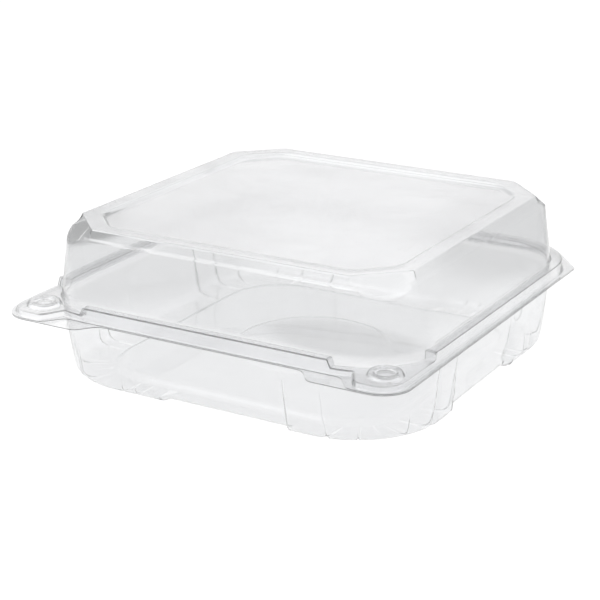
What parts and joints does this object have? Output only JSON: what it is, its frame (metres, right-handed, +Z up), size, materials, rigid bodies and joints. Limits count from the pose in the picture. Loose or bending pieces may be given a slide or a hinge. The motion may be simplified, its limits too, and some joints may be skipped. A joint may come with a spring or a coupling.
{
  "type": "plastic clamshell pack",
  "caption": "Clear hinged food pack: a deep square tray with lobed feet and a domed lid with cut corners, held shut by snap buttons at two front tabs.",
  "frame": {"origin": "under the middle of the whole pack, tabs and hinge included, in the plane that the tray stands on", "axes": "+Z up, -Y towards the two front tabs that open the pack, +Y towards the hinge, X along the hinge"},
  "size_m": [0.236, 0.2482, 0.0853],
  "materials": {
    "clear_sheet": "clear thermoformed PET sheet, glossy on both faces"
  },
  "bodies": {
    "tray": {"base_tray": "clear_sheet", "living_hinge": "clear_sheet"},
    "lid": {"lid": "clear_sheet"}
  },
  "joints": [
    {"name": "lid_hinge", "type": "hinge", "parent": "tray", "child": "lid", "pos_m": [0, 0.1237, 0.04], "axis": [-1, 0, 0], "range_deg": [0, 160], "deforming": ["living_hinge"]}
  ]
}
